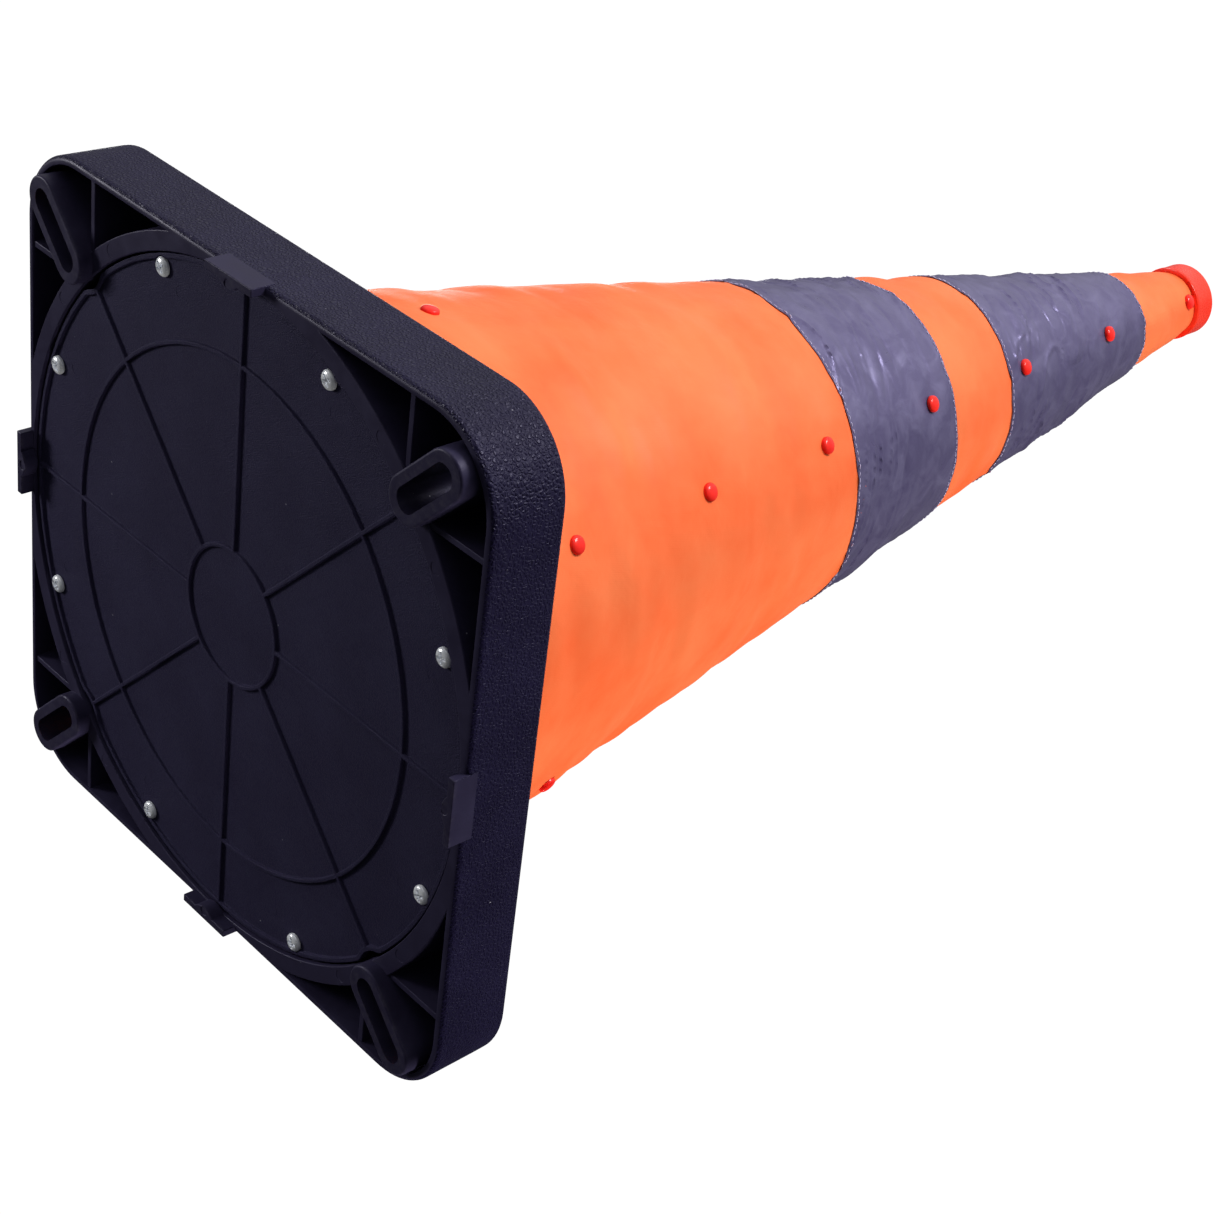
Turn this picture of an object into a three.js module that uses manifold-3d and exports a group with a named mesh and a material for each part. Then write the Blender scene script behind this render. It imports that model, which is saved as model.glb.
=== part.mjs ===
// Collapsible traffic cone: a moulded square base, seven nested conical sections that telescope, a coated
// fabric sleeve with two reflective bands, radial rivets and a closed collar.
// Millimetres, +Z up, origin on the floor under the cone's axis.
import * as THREE from 'three';
import { mergeVertices } from 'three/addons/utils/BufferGeometryUtils.js';
import Module from 'manifold-3d';

const wasm = await Module();
wasm.setup();

// ---- base moulding
const SIDE = 330; // outer width at the bottom rim
const CORNER_R = 40;
const RIM_Z = 6.5; // the rim stands clear of the floor on the feet
const BASE_TOP = 44.5;
const WALL = 4;
const DECK = 3;
const EDGE_ROUND = 2.5;
const DRAFT = 1; // each side leans in by this much at the top
const RING_IN = 161; // circular wall round the bottom cover
const RING_OUT = 170;
const RIB_AT = 112; // stiffening ribs between the ring wall and the outer wall
const RIB_T = 3;
const OPENING_R = 134.8; // deck opening that the cone leaves through

// ---- slotted corner feet
const FOOT_AT = 186; // distance from the axis, along the diagonal
const FOOT_LENGTH = 51;
const FOOT_WIDTH = 22;
const SLOT_LENGTH = 39.5;
const SLOT_WIDTH = 11.4;

// ---- clips at the middle of each side
const CLIP_LENGTH = 33;
const CLIP_IN = 161.3;
const CLIP_OUT = 165.2;
const CLIP_TOP = 12;
const CLIP_HOOK_R = 9.5;
const CLIP_HOOK_AT = 168;
const CLIP_HOOK_TOP = 7.4;
const CLIP_DIMPLE_R = 1.6;

// ---- bottom cover and its screws
const COVER_R = 160;
const COVER_FACE = 9.5;
const COVER_T = 2.5;
const COVER_RIB_H = 1.5;
const COVER_RIB_W = 2;
const COVER_LIP = 2.4;
const COVER_RINGS = [32.8, 121.8];
const NOTCH_R = 13.5;
const NOTCH_AT = 171.5;
const SCREW_CIRCLE = 154;
const SCREW_HEAD_R = 4.4;
const SCREW_SHANK_R = 1.9;
const SCREW_LENGTH = 14;
const POST_R = 4.5;

// ---- the cone
const SLEEVE_R0 = 144.19; // radius of the fabric's outer face at floor level, if it reached that far
const SLEEVE_SLOPE = 0.1822; // radius lost per millimetre of height
const SLEEVE_T = 1;
const SLEEVE_BOTTOM = 44.8;
const SLEEVE_TOP = 683.4;
const BANDS = [[316, 411], [467, 619]];
const BAND_T = 0.5;
const LEVELS = [106.8, 200.7, 294.6, 388.5, 482.4, 576.3, 677]; // rivet heights
const ABOVE_RIVET = 6; // each section ends this far above its rivets
const TUBE_T = 1.6;
const LIP_IN = 1.2; // inward lip at a section's top edge
const BEAD_H = 2.5; // outward bead at the next section's foot, caught under that lip
const OVERLAP = 6.6;
const SLIDE_GAP = 0.4;
const PIECE_GAP = 0.3;
const SECTION_1_FOOT = 12.3;
const FLANGE_R = 149;
const FLANGE_T = 2.5;

// ---- rivets and collar
const RIVET_HEAD_R = 4.8;
const RIVET_HEAD_H = 2.7;
const RIVET_SHANK_R = 1.9;
const RIVET_HOLE_R = 2.6; // across the corners of a six-sided hole
const FIRST_RIVET = -30; // azimuth in degrees
const COLLAR_R = 21.4;
const COLLAR_IN = 18.6;
const COLLAR_BOTTOM = 683.7;
const CONE_TOP = 700;
const SECTION_7_TOP = 695;

const TUBE_SEGMENTS = 24;
const DISC_SEGMENTS = 40;
const RAD = Math.PI / 180;

const material = (color, roughness, metalness = 0) =>
  new THREE.MeshStandardMaterial({ color, roughness, metalness });
const BLACK_MOULDED = material(0x1b1a1f, 0.62);
const BLACK_SECTION = material(0x201f23, 0.5);
const ORANGE_FABRIC = material(0xff7c3e, 0.6);
const GREY_REFLECTIVE = material(0x6d6a80, 0.45);
const RED_GLOSS = material(0xf23a2c, 0.25);
const ZINC = material(0xc9cdd2, 0.3, 1);

// Signed volume of an indexed closed surface, negative when its faces point in.
function signedVolume(p, triangles) {
  let volume = 0;
  for (let i = 0; i < triangles.length; i += 3) {
    const [a, b, c] = [triangles[i] * 3, triangles[i + 1] * 3, triangles[i + 2] * 3];
    volume += p[a] * (p[b + 1] * p[c + 2] - p[b + 2] * p[c + 1]);
    volume -= p[a + 1] * (p[b] * p[c + 2] - p[b + 2] * p[c]);
    volume += p[a + 2] * (p[b] * p[c + 1] - p[b + 1] * p[c]);
  }
  return volume;
}

// A closed three.js surface as a solid that can be joined and cut.
function solid(geometry) {
  const bare = geometry.clone();
  bare.deleteAttribute('normal');
  bare.deleteAttribute('uv');
  const merged = mergeVertices(bare, 1e-4);
  const p = new Float32Array(merged.getAttribute('position').array);
  const index = merged.getIndex().array;
  let triangles = [];
  for (let i = 0; i < index.length; i += 3) {
    const [a, b, c] = [index[i], index[i + 1], index[i + 2]];
    if (a !== b && b !== c && c !== a) triangles.push(a, b, c);
  }
  if (signedVolume(p, triangles) < 0) triangles = triangles.reverse();
  const mesh = new wasm.Mesh({ numProp: 3, vertProperties: p, triVerts: new Uint32Array(triangles) });
  return new wasm.Manifold(mesh);
}

function surface(body) {
  const mesh = body.getMesh();
  const geometry = new THREE.BufferGeometry();
  geometry.setAttribute('position', new THREE.BufferAttribute(new Float32Array(mesh.vertProperties), 3));
  geometry.setIndex(new THREE.BufferAttribute(new Uint32Array(mesh.triVerts), 1));
  geometry.computeVertexNormals();
  return geometry;
}

// Revolves [radius, height] points about Z. The profile closes on itself or ends on the axis.
function revolve(points, segments) {
  const profile = points.map(([r, z]) => new THREE.Vector2(r, z));
  if (points[0][0] > 0) profile.push(profile[0].clone());
  return new THREE.LatheGeometry(profile, segments).rotateX(Math.PI / 2);
}

function tube(inner, outer, bottom, top, segments) {
  return solid(revolve([[inner, bottom], [outer, bottom], [outer, top], [inner, top]], segments));
}

function rod(radius, bottom, top, x, y, segments) {
  const geometry = new THREE.CylinderGeometry(radius, radius, top - bottom, segments);
  return solid(geometry.rotateX(Math.PI / 2).translate(x, y, (bottom + top) / 2));
}

function block(x0, x1, y0, y1, z0, z1) {
  const geometry = new THREE.BoxGeometry(x1 - x0, y1 - y0, z1 - z0);
  return geometry.translate((x0 + x1) / 2, (y0 + y1) / 2, (z0 + z1) / 2);
}

function roundedSquare(half, radius) {
  const c = half - radius;
  const shape = new THREE.Shape();
  shape.moveTo(c, -half);
  shape.absarc(c, -c, radius, -Math.PI / 2, 0);
  shape.absarc(c, c, radius, 0, Math.PI / 2);
  shape.absarc(-c, c, radius, Math.PI / 2, Math.PI);
  shape.absarc(-c, -c, radius, Math.PI, 1.5 * Math.PI);
  return shape;
}

function oval(length, width) {
  const c = (length - width) / 2;
  const shape = new THREE.Shape();
  shape.absarc(c, 0, width / 2, -Math.PI / 2, Math.PI / 2);
  shape.absarc(-c, 0, width / 2, Math.PI / 2, 1.5 * Math.PI);
  return shape;
}

function prism(shape, bottom, top, curveSegments) {
  const settings = { depth: top - bottom, bevelEnabled: false, curveSegments };
  return new THREE.ExtrudeGeometry(shape, settings).translate(0, 0, bottom);
}

const around = (geometry, degrees) => geometry.rotateZ(degrees * RAD);
const sleeveRadius = (z) => SLEEVE_R0 - SLEEVE_SLOPE * z;

// ---- base moulding: drafted outer block with rounded edges
function baseBlock() {
  const settings = {
    depth: BASE_TOP - RIM_Z - 2 * EDGE_ROUND,
    bevelThickness: EDGE_ROUND,
    bevelSize: EDGE_ROUND,
    bevelOffset: -EDGE_ROUND,
    bevelSegments: 1,
    curveSegments: 5,
  };
  const geometry = new THREE.ExtrudeGeometry(roundedSquare(SIDE / 2, CORNER_R), settings);
  geometry.translate(0, 0, RIM_Z + EDGE_ROUND);
  const p = geometry.getAttribute('position');
  for (let i = 0; i < p.count; i++) {
    const lean = 1 - ((DRAFT * 2) / SIDE) * ((p.getZ(i) - RIM_Z) / (BASE_TOP - RIM_Z));
    p.setXY(i, p.getX(i) * lean, p.getY(i) * lean);
  }
  return solid(geometry);
}

// A corner foot stands from the floor to the deck and carries a slot right through.
function foot(length, width, bottom, top, degrees) {
  const geometry = prism(oval(length, width), bottom, top, 5).translate(FOOT_AT, 0, 0);
  return solid(around(geometry, degrees));
}

function cornerRibs(degrees) {
  const near = 126;
  const far = SIDE / 2 - WALL / 2;
  const lower = RIM_Z + 1;
  const a = block(RIB_AT - RIB_T / 2, RIB_AT + RIB_T / 2, near, far, lower, BASE_TOP - 1);
  const b = block(near, far, RIB_AT - RIB_T / 2, RIB_AT + RIB_T / 2, lower, BASE_TOP - 1);
  return solid(around(a, degrees)).add(solid(around(b, degrees)));
}

// A mid-side clip: a plate flush with the outer wall, and a half-round hook over the cover's edge.
function clip(degrees) {
  const half = CLIP_LENGTH / 2;
  const plate = solid(around(block(CLIP_IN, CLIP_OUT, -half, half, 0, CLIP_TOP), degrees));
  const hookShape = new THREE.CylinderGeometry(CLIP_HOOK_R, CLIP_HOOK_R, CLIP_HOOK_TOP, 18);
  hookShape.rotateX(Math.PI / 2).translate(CLIP_HOOK_AT, 0, CLIP_HOOK_TOP / 2);
  const keep = block(CLIP_HOOK_AT - 12, CLIP_IN + 2, -half, half, -1, CLIP_HOOK_TOP + 1);
  const hook = solid(around(hookShape, degrees)).intersect(solid(around(keep, degrees)));
  return plate.add(hook);
}

function screwAzimuths() {
  return Array.from({ length: 8 }, (_, i) => 22.5 + 45 * i);
}

const corners = [45, 135, 225, 315];
const sides = [0, 90, 180, 270];
const onCircle = (r, degrees) => [r * Math.cos(degrees * RAD), r * Math.sin(degrees * RAD)];

function baseShell() {
  const outer = baseBlock();
  const half = SIDE / 2 - WALL;
  const hollow = prism(roundedSquare(half + 0.2, CORNER_R - WALL), RIM_Z - 5, BASE_TOP - DECK, 4);
  let shell = outer.subtract(solid(hollow));
  shell = shell.add(tube(RING_IN, RING_OUT, RIM_Z, BASE_TOP - 1, DISC_SEGMENTS).intersect(outer));
  for (const degrees of corners) {
    shell = shell.add(cornerRibs(degrees - 45).intersect(outer));
    shell = shell.add(foot(FOOT_LENGTH, FOOT_WIDTH, 0, BASE_TOP - 1, degrees));
    shell = shell.subtract(foot(SLOT_LENGTH, SLOT_WIDTH, -5, BASE_TOP + 5, degrees));
  }
  for (const degrees of sides) {
    shell = shell.add(clip(degrees));
    const [x, y] = onCircle(CLIP_IN, degrees);
    shell = shell.subtract(rod(CLIP_DIMPLE_R, -1, 3, x, y, 6));
  }
  for (const degrees of screwAzimuths()) {
    const [x, y] = onCircle(SCREW_CIRCLE, degrees);
    const bottom = COVER_FACE + COVER_T + PIECE_GAP;
    shell = shell.add(rod(POST_R, bottom, BASE_TOP - 1, x, y, 8));
    shell = shell.subtract(rod(SCREW_SHANK_R + 0.6, bottom - 1, 27, x, y, 6));
  }
  return shell.subtract(rod(OPENING_R + 0.6, BASE_TOP - 10, BASE_TOP + 5, 0, 0, TUBE_SEGMENTS));
}

// ---- bottom cover: ribbed disc with a raised lip that runs round the feet
function bottomCover() {
  const low = COVER_FACE - COVER_RIB_H;
  let outline = rod(COVER_R, low, COVER_FACE + COVER_T, 0, 0, DISC_SEGMENTS);
  let recess = rod(COVER_R - COVER_LIP, low - 1, COVER_FACE, 0, 0, DISC_SEGMENTS);
  for (const degrees of corners) {
    const [x, y] = onCircle(NOTCH_AT, degrees);
    outline = outline.subtract(rod(NOTCH_R, low - 2, 20, x, y, 16));
    recess = recess.subtract(rod(NOTCH_R + COVER_LIP, low - 2, 20, x, y, 16));
  }
  let cover = outline.subtract(recess);
  for (const r of COVER_RINGS) {
    const ring = tube(r - COVER_RIB_W / 2, r + COVER_RIB_W / 2, low, COVER_FACE + 0.5, 32);
    cover = cover.add(ring);
  }
  for (let i = 0; i < 8; i++) {
    const w = COVER_RIB_W / 2;
    const bar = around(block(COVER_RINGS[0], COVER_R - 1, -w, w, low, COVER_FACE + 0.5), 45 * i);
    cover = cover.add(solid(bar).intersect(outline));
  }
  for (const degrees of screwAzimuths()) {
    const [x, y] = onCircle(SCREW_CIRCLE, degrees);
    cover = cover.subtract(rod(SCREW_SHANK_R + 0.6, low - 1, 20, x, y, 6));
    cover = cover.subtract(rod(SCREW_HEAD_R + 0.6, low - 1, COVER_FACE, x, y, 8));
  }
  return cover;
}

// A pan-head screw driven upwards, head below the cover's face.
function screwGeometry() {
  const face = COVER_FACE - PIECE_GAP;
  const r = SCREW_HEAD_R;
  const profile = [
    [0, face - 2.6], [r * 0.7, face - 2.2], [r, face - 0.8], [r, face],
    [SCREW_SHANK_R, face], [SCREW_SHANK_R, face + SCREW_LENGTH], [0, face + SCREW_LENGTH],
  ];
  return revolve(profile, 8);
}

// ---- telescoping sections
const sectionTop = (i) => (i === 6 ? SLEEVE_TOP - 0.4 : LEVELS[i] + ABOVE_RIVET);
const topRadius = (i) => sleeveRadius(sectionTop(i)) - SLEEVE_T - 0.5;

function sectionFoot(i) {
  return i === 0 ? SECTION_1_FOOT : sectionTop(i - 1) - OVERLAP;
}

function footRadius(i) {
  if (i === 0) return sleeveRadius(SECTION_1_FOOT) - SLEEVE_T - 1.7;
  return topRadius(i - 1) - TUBE_T - LIP_IN - SLIDE_GAP;
}

// Outer radius of a section's conical wall at a height.
function wallRadius(i, z) {
  const start = i === 0 ? sectionFoot(0) : sectionFoot(i) + BEAD_H;
  const t = (z - start) / (sectionTop(i) - start);
  return footRadius(i) + (topRadius(i) - footRadius(i)) * t;
}

function sectionProfile(i) {
  const low = sectionFoot(i);
  const top = sectionTop(i);
  const start = i === 0 ? low : low + BEAD_H;
  const inner = (z) => wallRadius(i, z) - TUBE_T;
  const points = [];
  if (i === 0) {
    const under = BASE_TOP - DECK - PIECE_GAP;
    points.push([inner(low), low], [wallRadius(0, low), low]);
    points.push([wallRadius(0, under - FLANGE_T), under - FLANGE_T], [FLANGE_R, under - FLANGE_T]);
    points.push([FLANGE_R, under], [wallRadius(0, under), under]);
  } else {
    const bead = wallRadius(i - 1, start) - TUBE_T - SLIDE_GAP;
    points.push([inner(start), low], [bead, low], [bead, start], [wallRadius(i, start), start]);
  }
  points.push([topRadius(i), top]);
  if (i === 6) {
    points.push([topRadius(i), SECTION_7_TOP], [topRadius(i) - TUBE_T, SECTION_7_TOP], [inner(top), top]);
  } else {
    const lip = topRadius(i) - TUBE_T - LIP_IN;
    points.push([lip, top], [lip, top - 2.2], [inner(top - 3.6), top - 3.6]);
  }
  if (i > 0) points.push([inner(start), start]);
  return points;
}

// ---- rivets stand square to the sloping wall
const TILT = Math.atan(SLEEVE_SLOPE);
const bandAt = (z) => BANDS.some(([low, high]) => z > low && z < high);

function rivetAzimuths(i) {
  const count = i === 0 ? 6 : 3;
  return Array.from({ length: count }, (_, k) => FIRST_RIVET + (360 / count) * k);
}

function rivetSeat(i) {
  const skin = sleeveRadius(LEVELS[i]) + (bandAt(LEVELS[i]) ? PIECE_GAP + BAND_T : 0);
  return skin + PIECE_GAP;
}

function rivetLength(i) {
  const wall = wallRadius(i, LEVELS[i]) - TUBE_T;
  return (rivetSeat(i) - wall) * Math.cos(TILT) - 0.25;
}

function rivetGeometry(i) {
  const r = RIVET_HEAD_R;
  const h = RIVET_HEAD_H;
  const length = rivetLength(i);
  const profile = [
    [0, -length], [RIVET_SHANK_R, -length], [RIVET_SHANK_R, 0], [r, 0], [r * 0.72, h * 0.75], [0, h],
  ];
  return revolve(profile, 8);
}

// Turns something standing along +Z so that it points outwards at an azimuth, square to the cone.
function aim(degrees) {
  const out = new THREE.Vector3(Math.cos(degrees * RAD), Math.sin(degrees * RAD), 0);
  out.multiplyScalar(Math.cos(TILT)).setZ(Math.sin(TILT));
  return new THREE.Quaternion().setFromUnitVectors(new THREE.Vector3(0, 0, 1), out);
}

function rivetHoles(body, levels) {
  let cut = body;
  for (const i of levels) {
    for (const degrees of rivetAzimuths(i)) {
      const drill = new THREE.CylinderGeometry(RIVET_HOLE_R, RIVET_HOLE_R, 16, 6);
      drill.rotateX(Math.PI / 2).applyQuaternion(aim(degrees));
      const [x, y] = onCircle(rivetSeat(i), degrees);
      cut = cut.subtract(solid(drill.translate(x, y, LEVELS[i])));
    }
  }
  return cut;
}

// ---- fabric: plain conical shells
function coneShell(bottom, top, inset, thickness) {
  const outer = (z) => sleeveRadius(z) - inset;
  const profile = [
    [outer(bottom) - thickness, bottom], [outer(bottom), bottom],
    [outer(top), top], [outer(top) - thickness, top],
  ];
  return solid(revolve(profile, TUBE_SEGMENTS));
}

function collarGeometry() {
  const r = COLLAR_R;
  const profile = [
    [0, SECTION_7_TOP + 0.4], [COLLAR_IN, SECTION_7_TOP + 0.4], [COLLAR_IN, COLLAR_BOTTOM],
    [r, COLLAR_BOTTOM], [r + 0.4, COLLAR_BOTTOM + 0.5], [r, COLLAR_BOTTOM + 1.2],
    [r, CONE_TOP - 1.6], [r - 0.5, CONE_TOP - 0.5], [r - 1.6, CONE_TOP], [0, CONE_TOP],
  ];
  return revolve(profile, TUBE_SEGMENTS);
}

// ---- assembly
const group = new THREE.Group();

function place(name, geometry, look) {
  const mesh = new THREE.Mesh(geometry, look);
  mesh.name = name;
  group.add(mesh);
  return mesh;
}

place('base_shell', surface(baseShell()), BLACK_MOULDED);
place('bottom_cover', surface(bottomCover()), BLACK_MOULDED);

screwAzimuths().forEach((degrees, k) => {
  const [x, y] = onCircle(SCREW_CIRCLE, degrees);
  const screw = place(`cover_screw_${k + 1}`, screwGeometry(), ZINC);
  screw.position.set(x, y, 0);
});

LEVELS.forEach((level, i) => {
  const body = solid(revolve(sectionProfile(i), TUBE_SEGMENTS));
  place(`section_${i + 1}`, surface(rivetHoles(body, [i])), BLACK_SECTION);
  rivetAzimuths(i).forEach((degrees, k) => {
    const [x, y] = onCircle(rivetSeat(i), degrees);
    const rivet = place(`rivet_${i + 1}_${k + 1}`, rivetGeometry(i), RED_GLOSS);
    rivet.position.set(x, y, level);
    rivet.quaternion.copy(aim(degrees));
  });
});

const sleeve = rivetHoles(coneShell(SLEEVE_BOTTOM, SLEEVE_TOP, 0, SLEEVE_T), [0, 1, 2, 3, 4, 5, 6]);
place('sleeve', surface(sleeve), ORANGE_FABRIC);

BANDS.forEach(([bottom, top], k) => {
  const inside = [0, 1, 2, 3, 4, 5, 6].filter((i) => LEVELS[i] > bottom && LEVELS[i] < top);
  const shell = coneShell(bottom, top, -PIECE_GAP - BAND_T, BAND_T);
  place(`reflective_band_${k + 1}`, surface(rivetHoles(shell, inside)), GREY_REFLECTIVE);
});

place('collar', collarGeometry(), RED_GLOSS);

export default group;
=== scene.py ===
from math import atan, atan2, cos, hypot, pi, radians, sin, sqrt

import bpy
import numpy as np
from mathutils import Euler, Matrix, Vector


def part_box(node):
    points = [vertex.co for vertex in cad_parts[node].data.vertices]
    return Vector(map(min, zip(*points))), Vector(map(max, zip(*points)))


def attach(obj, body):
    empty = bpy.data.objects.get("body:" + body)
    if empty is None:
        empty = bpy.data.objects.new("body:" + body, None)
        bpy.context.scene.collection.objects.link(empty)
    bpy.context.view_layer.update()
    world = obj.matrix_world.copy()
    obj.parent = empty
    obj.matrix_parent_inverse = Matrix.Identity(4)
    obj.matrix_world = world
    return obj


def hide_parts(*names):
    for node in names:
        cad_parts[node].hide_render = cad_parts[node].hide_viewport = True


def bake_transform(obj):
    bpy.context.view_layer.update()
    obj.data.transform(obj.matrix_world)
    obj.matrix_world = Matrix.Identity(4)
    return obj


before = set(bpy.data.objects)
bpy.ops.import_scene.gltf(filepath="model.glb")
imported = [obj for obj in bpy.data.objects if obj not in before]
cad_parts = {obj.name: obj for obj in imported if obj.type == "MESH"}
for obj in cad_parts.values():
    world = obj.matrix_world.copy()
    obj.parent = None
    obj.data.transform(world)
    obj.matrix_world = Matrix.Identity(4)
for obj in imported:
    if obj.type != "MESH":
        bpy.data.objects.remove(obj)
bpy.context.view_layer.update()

MM = 0.001
TURN = 2 * pi

# ---- camera, in metres and degrees: below the floor plane, looking up at the underside
CAMERA_AT = (0.7492, -0.5869, -0.5265)
CAMERA_TURN = (155.598, -47.975, -9.870)
LENS_MM = 73.45

# ---- the lighting dome: the way it is brightest, and its brightness from the far side to that one
DOME_AXIS = (0.0, -0.75, 0.5)
DOME_CURVE = ((0.0, 0.03), (0.32, 0.045), (0.5, 0.13), (0.66, 0.27), (1.0, 0.4))

# ---- base moulding, in millimetres (its height comes from the frame)
BASE_HALF = 165.0
CORNER_R = 40
RIM_Z = 6.5
WALL = 4
DECK = 3
DRAFT = 1
EDGE_ROUND = 2.5
TOP_ROUND = 3
RING_IN, RING_OUT = 161, 170
RIB_AT, RIB_T, RIB_START = 112, 3, 126
INTO_WALL, INTO_DECK = 2.2, 1
RING_EDGE = 0.6
POST_HOLE_R, POST_R, POST_FOOT = 2.5, 4.5, 12.3
OPENING_R = 135.4
DECK_FLAT_FROM = 12
DECK_RING = ((142.6, 0), (142.2, 0.15), (141.9, 0.7), (141.4, 1.05), (140.8, 1.2), (138.4, 1.2),
             (137.8, 1.05), (137.3, 0.7), (137.0, 0.1), (136.4, -0.1), (135.7, -0.3), (OPENING_R, -0.8))
FILLET = 2
FOOT_AT, FOOT_LENGTH, FOOT_WIDTH = 186, 51, 22
SLOT_LENGTH, SLOT_WIDTH = 39.5, 11.4
CLIP_LENGTH, CLIP_IN, CLIP_OUT, CLIP_TOP = 33, 161.3, 165.2, 12
HOOK_R, HOOK_AT, HOOK_TOP = 9.5, 168, 7.4
CORNERS = (45, 135, 225, 315)
SIDES = (0, 90, 180, 270)
SCREWS = tuple(22.5 + 45 * i for i in range(8))

# ---- bottom cover and screws
COVER_R, COVER_FACE, COVER_T = 160, 9.5, 2.5
RIB_H, RIB_W, LIP = 1.5, 2.0, 2.4
COVER_RINGS = (32.8, 121.8)
NOTCH_R, NOTCH_AT = 14.5, 171.5
NO_LIMIT = 1e4
SCREW_CIRCLE, SCREW_R, SCREW_H, SCREW_LENGTH = 154, 4.4, 2.6, 14
SCREW_SHANK = 1.9
SCREW_FACE = COVER_FACE - 0.3

# ---- rivets and fabric
RIVET_R, RIVET_H, RIVET_SHANK = 4.35, 2.0, 1.9
CAD_RIVET_H = 2.7
FABRIC_T = 0.35
BAND_T = 0.35
BAND_OFF = 0.35
SEAM_AT = radians(150)
SEAM_HALF = 5
STITCH_LENGTH, STITCH_R = 2.4, 0.3
SEAM_PITCH, HEM_PITCH, HEM_IN = 3.4, 3.5, 1.2
BAND_COLUMNS = 400

# ---- shading angles, in degrees: edges sharper than these stay sharp
MOULDED, TURNED, SOFT = 32, 40, 50


def node_points(node):
    """A CAD node's vertices in millimetres."""
    return np.array([v.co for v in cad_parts[node].data.vertices], float) / MM


def polar(radius, angle):
    return np.array([radius * cos(angle), radius * sin(angle)])


def around_z(radius, angles):
    """Points in plan at a distance, or a distance each, and an angle each."""
    return np.column_stack([radius * np.cos(angles), radius * np.sin(angles)])


# ======== meshes
def add_object(name, data):
    obj = bpy.data.objects.new(name, data)
    bpy.context.scene.collection.objects.link(obj)
    return obj


class Mesh:
    """Gathers points, faces, material numbers and corner UVs, then makes one object."""

    def __init__(self):
        self.points, self.faces, self.slots, self.uvs, self.count = [], [], [], [], 0

    def add(self, points, faces, slot=0, uvs=None):
        points = np.asarray(points, float)
        self.points.append(points)
        for f in faces:
            self.faces.append([int(i) + self.count for i in f])
        self.slots += [slot] * len(faces)
        corners = sum(len(f) for f in faces)
        self.uvs.append(np.zeros((corners, 2)) if uvs is None else np.asarray(uvs).reshape(-1, 2))
        self.count += len(points)
        return self

    def build(self, name, materials, sharp=35):
        mesh = bpy.data.meshes.new(name)
        mesh.from_pydata((np.concatenate(self.points) * MM).tolist(), [], self.faces)
        for m in materials:
            mesh.materials.append(m)
        mesh.polygons.foreach_set("material_index", self.slots)
        uv = mesh.uv_layers.new(name="flat")
        uv.data.foreach_set("uv", (np.concatenate(self.uvs) * MM).ravel())
        mesh.update()
        return place(name, mesh, sharp)


def place(name, mesh, sharp, weighted=False):
    """Puts a mesh in the scene, smooth except at edges sharper than the given angle in degrees.
    weighted lets the larger faces decide the normals, which keeps flats beside small roundings flat."""
    mesh.name = name
    mesh.shade_smooth()
    mesh.set_sharp_from_angle(angle=radians(sharp))
    obj = add_object(name, mesh)
    if weighted:
        even = obj.modifiers.new("even_normals", "WEIGHTED_NORMAL")
        even.keep_sharp = True
    return obj


def grid_faces(rows, columns, wrap_rows):
    """Quads of a grid whose columns close on themselves, numbered row by row. Rows can close too."""
    r = np.arange(rows if wrap_rows else rows - 1)[:, None]
    c = np.arange(columns)[None, :]
    up = (r + 1) % rows
    right = (c + 1) % columns
    quads = np.stack([r * columns + c, r * columns + right, up * columns + right, up * columns + c], -1)
    return quads.reshape(-1, 4)


def rings_body(rings, closed):
    """A solid from a stack of matching rings: the last joins the first, or both ends are capped."""
    n = len(rings[0])
    points = np.concatenate(rings)
    faces = grid_faces(len(rings), n, closed).tolist()
    if not closed:
        faces.append(list(range(n))[::-1])
        faces.append([(len(rings) - 1) * n + i for i in range(n)])
    return points, faces


def facing_out(points, faces):
    """The faces turned so that the body's volume is positive."""
    volume = 0.0
    for f in faces:
        a = points[f[0]]
        for i in range(1, len(f) - 1):
            volume += np.dot(a, np.cross(points[f[i]], points[f[i + 1]]))
    return faces if volume > 0 else [list(f)[::-1] for f in faces]


def body(rings, closed):
    """An object made from rings, ready for joining and cutting."""
    points, faces = rings_body(rings, closed)
    mesh = bpy.data.meshes.new("part")
    mesh.from_pydata((points * MM).tolist(), [], facing_out(points, faces))
    mesh.update()
    return add_object("part", mesh)


def lift(outline, z):
    """A flat outline as a ring at a height."""
    return np.column_stack([outline, np.full(len(outline), float(z))])


def square_outline(half, radius):
    """A rounded square, corner by corner, always with the same number of points."""
    per_corner, per_side = 20, 36
    out = []
    c = half - radius
    for q in range(4):
        start = q * pi / 2
        centre = np.array([[c, c], [-c, c], [-c, -c], [c, -c]][q])
        for a in np.linspace(start, start + pi / 2, per_corner):
            out.append(centre + polar(radius, a))
        follow = np.array([[-c, c], [-c, -c], [c, -c], [c, c]][q]) + polar(radius, start + pi / 2)
        last = out[-1]
        for t in np.arange(1, per_side + 1) / (per_side + 1):
            out.append(last + (follow - last) * t)
    return np.array(out)


def oval_outline(length, width):
    """A slot shape along X: two half circles joined by straight sides."""
    c, r, n = (length - width) / 2, width / 2, 20
    right = [np.array([c, 0]) + polar(r, a) for a in np.linspace(-pi / 2, pi / 2, n)]
    left = [np.array([-c, 0]) + polar(r, a) for a in np.linspace(pi / 2, 1.5 * pi, n)]
    return np.array(right + left)


def circle_outline(radius, segments):
    return around_z(radius, np.arange(segments) * TURN / segments)


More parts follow.
